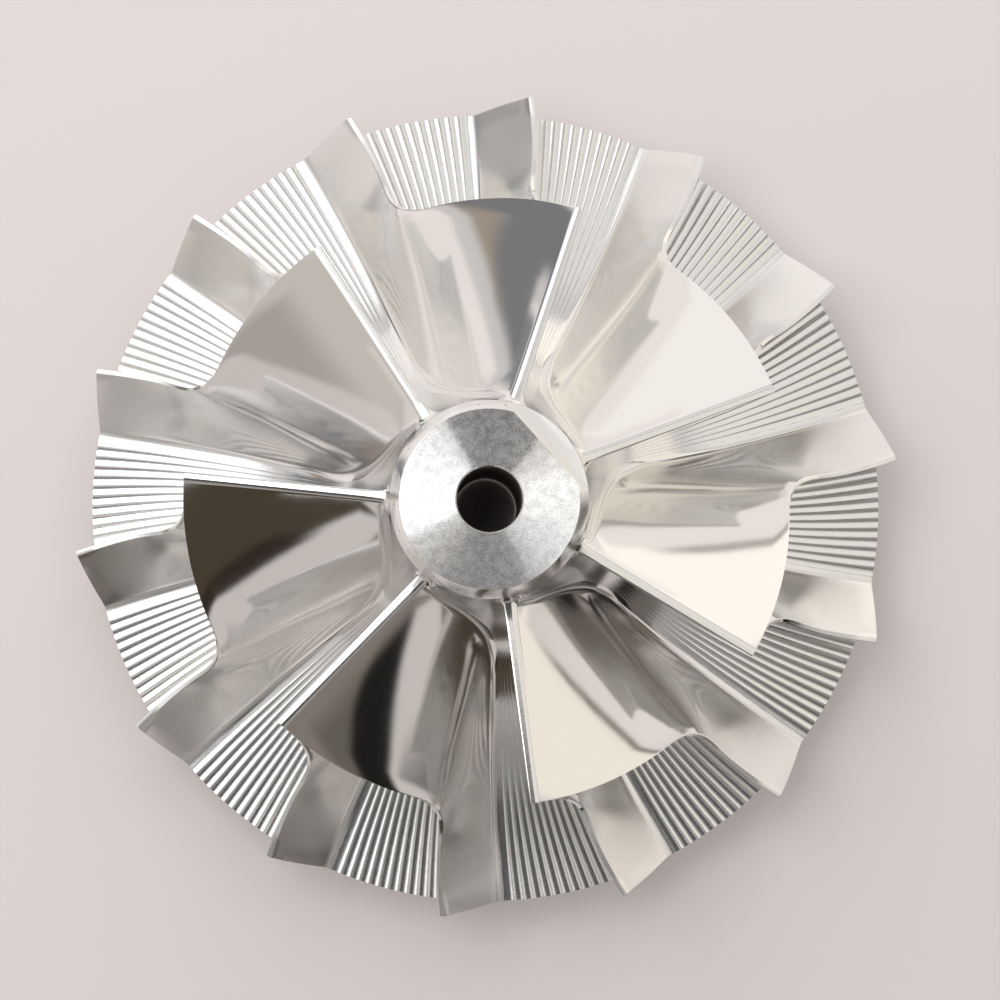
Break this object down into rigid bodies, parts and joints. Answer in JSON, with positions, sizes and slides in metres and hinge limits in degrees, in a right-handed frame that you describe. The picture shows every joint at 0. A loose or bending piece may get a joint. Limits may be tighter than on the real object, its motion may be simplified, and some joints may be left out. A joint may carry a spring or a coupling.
{
  "type": "compressor wheel",
  "caption": "Milled radial compressor wheel with full blades, splitter blades, a thin back disc and a through bore.",
  "frame": {"origin": "on the bore's axis, in the plane of the back boss's flat face", "axes": "+Z along the bore towards the nose, +X under the tip of the first full blade's leading edge"},
  "size_m": [0.0894, 0.091, 0.0386],
  "materials": {
    "milled_aluminium": "milled and turned, bright"
  },
  "bodies": {
    "root": {"compressor_wheel": "milled_aluminium"}
  },
  "joints": []
}
